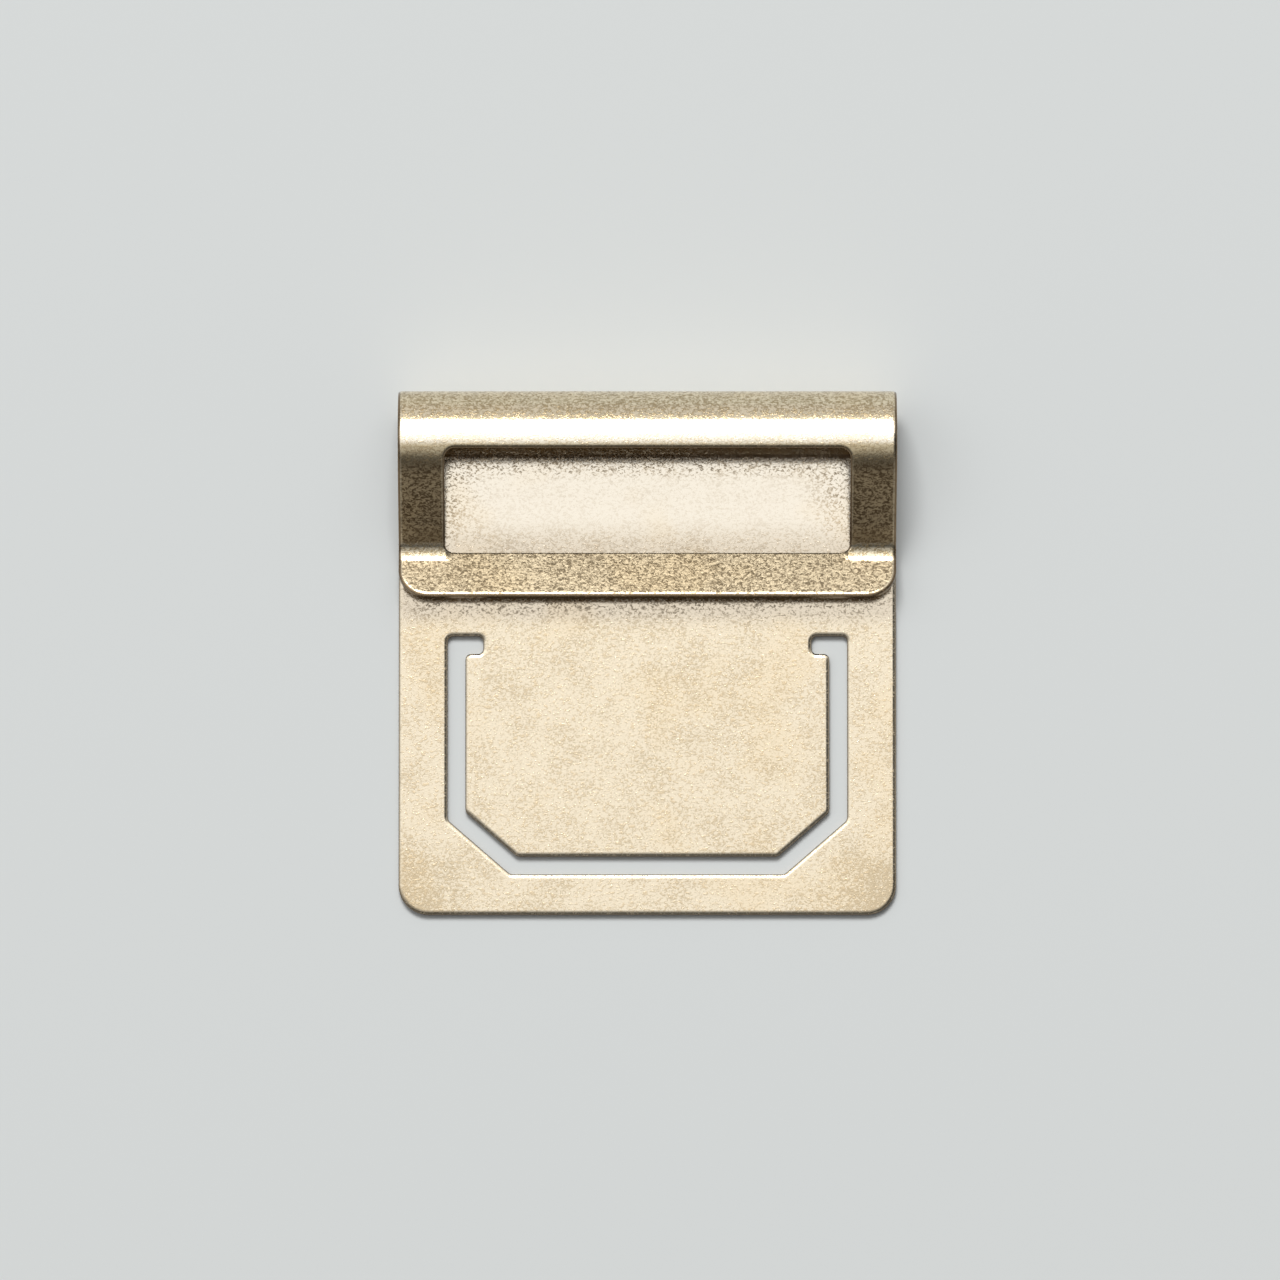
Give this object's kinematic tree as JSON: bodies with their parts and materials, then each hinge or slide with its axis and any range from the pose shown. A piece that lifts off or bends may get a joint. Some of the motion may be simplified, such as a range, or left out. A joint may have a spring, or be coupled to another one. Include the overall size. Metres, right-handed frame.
{
  "type": "index clip",
  "caption": "Folded brass sheet clip with a rolled top, a windowed label flap with a flared lip, and a spring tongue inside a slotted loop that grips a page.",
  "frame": {"origin": "centre of the bounding box in X and Y, on the flat back of the plate", "axes": "+X across the clip, +Y up the clip from the lower band to the roll, +Z out of the front, through the label window"},
  "size_m": [0.025, 0.0262, 0.0052],
  "materials": {
    "plate_brass": "tumbled, fine matte grain",
    "tongue_brass": "tumbled, fine matte grain",
    "roll_brass": "tumbled, worn brighter on the roll",
    "frame_brass": "tumbled, fine matte grain"
  },
  "bodies": {
    "clip_body": {"back_plate": "plate_brass", "top_roll": "roll_brass"},
    "tongue": {"spring_tongue": "tongue_brass"},
    "label_flap": {"window_frame": "frame_brass"}
  },
  "joints": [
    {"name": "tongue_flex", "type": "hinge", "parent": "clip_body", "child": "tongue", "pos_m": [0, 0.00048, 0.0002], "axis": [-1, 0, 0], "range_deg": [0, 8], "stiffness_Nm_per_rad": 2.8},
    {"name": "flap_flex", "type": "hinge", "parent": "clip_body", "child": "label_flap", "pos_m": [0, 0.00947, 0.00477], "axis": [-1, 0, 0], "range_deg": [-5, 8], "stiffness_Nm_per_rad": 0.66}
  ]
}
